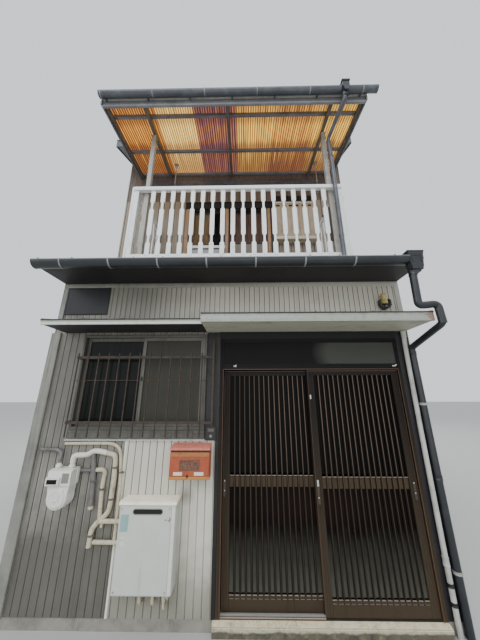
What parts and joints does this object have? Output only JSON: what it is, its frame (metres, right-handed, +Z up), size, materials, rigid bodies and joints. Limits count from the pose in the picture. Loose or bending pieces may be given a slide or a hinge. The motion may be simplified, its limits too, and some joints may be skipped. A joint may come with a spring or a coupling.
{
  "type": "machiya townhouse",
  "caption": "Narrow timber townhouse of two storeys with a lattice sliding entrance, lean-to eave, and a balcony under a coloured corrugated roof.",
  "frame": {"origin": "ground level under the middle of the frontage, on the centre line of the front wall, on the underside of the foundation", "axes": "+Z up; -Y towards the street, so +Y runs into the house; +X to the right seen from the street"},
  "size_m": [3.765, 6.533, 7.0279],
  "materials": {
    "concrete": "stained concrete",
    "floor_concrete": "trowelled concrete",
    "step_paint": "worn cream paint on concrete",
    "floor_timber": "old boards",
    "siding": "ribbed cream sheet, stained",
    "dark_siding": "dark brown sheet",
    "party_wall": "ribbed brown sheet",
    "upper_siding": "ribbed beige sheet",
    "roof_metal": "standing seam sheet",
    "dark_timber": "dark stained boards",
    "gutter_plastic": "weathered grey",
    "white_pipe": "dirty white",
    "canopy_metal": "pale grey-green paint with rust",
    "bronze_aluminium": "dark bronze, satin",
    "obscured_glass": "obscured",
    "silver_aluminium": "dull silver",
    "dark_glass": "dark, reflective",
    "rusty_steel": "rusted brown paint",
    "mailbox_red": "faded orange-red",
    "lid_red": "faded pink-red",
    "heater_enamel": "aged white enamel",
    "meter_white": "white enamel",
    "pipe_cream": "yellowed insulation tape",
    "deck_timber": "grey weathered boards",
    "railing_white": "white paint",
    "weathered_timber": "grey weathered timber",
    "roof_plastic": "aged translucent sheet",
    "roof_tile": "smoked grey tile",
    "brown_timber": "orange-brown timber",
    "shutter_beige": "beige sheet",
    "trim_grey": "light grey paint",
    "navy_panel": "dark navy",
    "insulator_yellow": "glazed",
    "black_plastic": "black"
  },
  "bodies": {
    "house": {"foundation": "concrete", "ground_floor": "floor_concrete", "entrance_step": "step_paint", "upper_floor": "floor_timber", "front_wall_left": "siding", "front_wall_over_door": "siding", "front_wall_right": "dark_siding", "side_wall_left": "party_wall", "side_wall_right": "party_wall", "gable_wall_left": "party_wall", "gable_wall_right": "party_wall", "back_wall": "siding", "upper_back_wall": "siding", "upper_front_wall": "upper_siding", "lean_to_roof": "roof_metal", "eave_soffit": "dark_timber", "eave_gutter": "gutter_plastic", "eave_downpipe": "gutter_plastic", "canopy_downpipe": "white_pipe", "window_canopy": "canopy_metal", "door_canopy": "canopy_metal", "entrance_frame": "bronze_aluminium", "window_frame": "silver_aluminium", "front_glass": "dark_glass", "window_grille": "rusty_steel", "mailbox": "mailbox_red", "water_heater": "heater_enamel", "gas_meter": "meter_white", "wall_pipes": "pipe_cream", "balcony_deck": "deck_timber", "railing_front": "railing_white", "railing_sides": "railing_white", "balcony_posts": "weathered_timber", "balcony_rafters": "weathered_timber", "balcony_purlins": "weathered_timber", "balcony_roof_sheets": "roof_plastic", "balcony_gutter": "gutter_plastic", "balcony_downpipe": "gutter_plastic", "main_roof": "roof_tile", "rafter_tails": "dark_timber", "roof_ridge": "roof_tile", "balcony_window": "brown_timber", "upper_glass": "dark_glass", "shutter_box": "shutter_beige", "wall_trims": "trim_grey", "dark_panel": "navy_panel", "wall_insulator": "insulator_yellow", "intercom": "black_plastic", "back_windows": "silver_aluminium", "back_glass": "dark_glass"},
    "left_leaf": {"door_left": "bronze_aluminium", "door_left_glass": "obscured_glass"},
    "right_leaf": {"door_right": "bronze_aluminium", "door_right_glass": "obscured_glass"},
    "mail_flap": {"mailbox_lid": "lid_red"}
  },
  "joints": [
    {"name": "door_left_slide", "type": "slide", "parent": "house", "child": "left_leaf", "axis": [1, 0, 0], "range_m": [0, 0.8]},
    {"name": "door_right_slide", "type": "slide", "parent": "house", "child": "right_leaf", "axis": [-1, 0, 0], "range_m": [0, 0.8]},
    {"name": "mailbox_lid_hinge", "type": "hinge", "parent": "house", "child": "mail_flap", "pos_m": [-0.3175, -0.072, 1.311], "axis": [-1, 0, 0], "range_deg": [0, 30]}
  ]
}
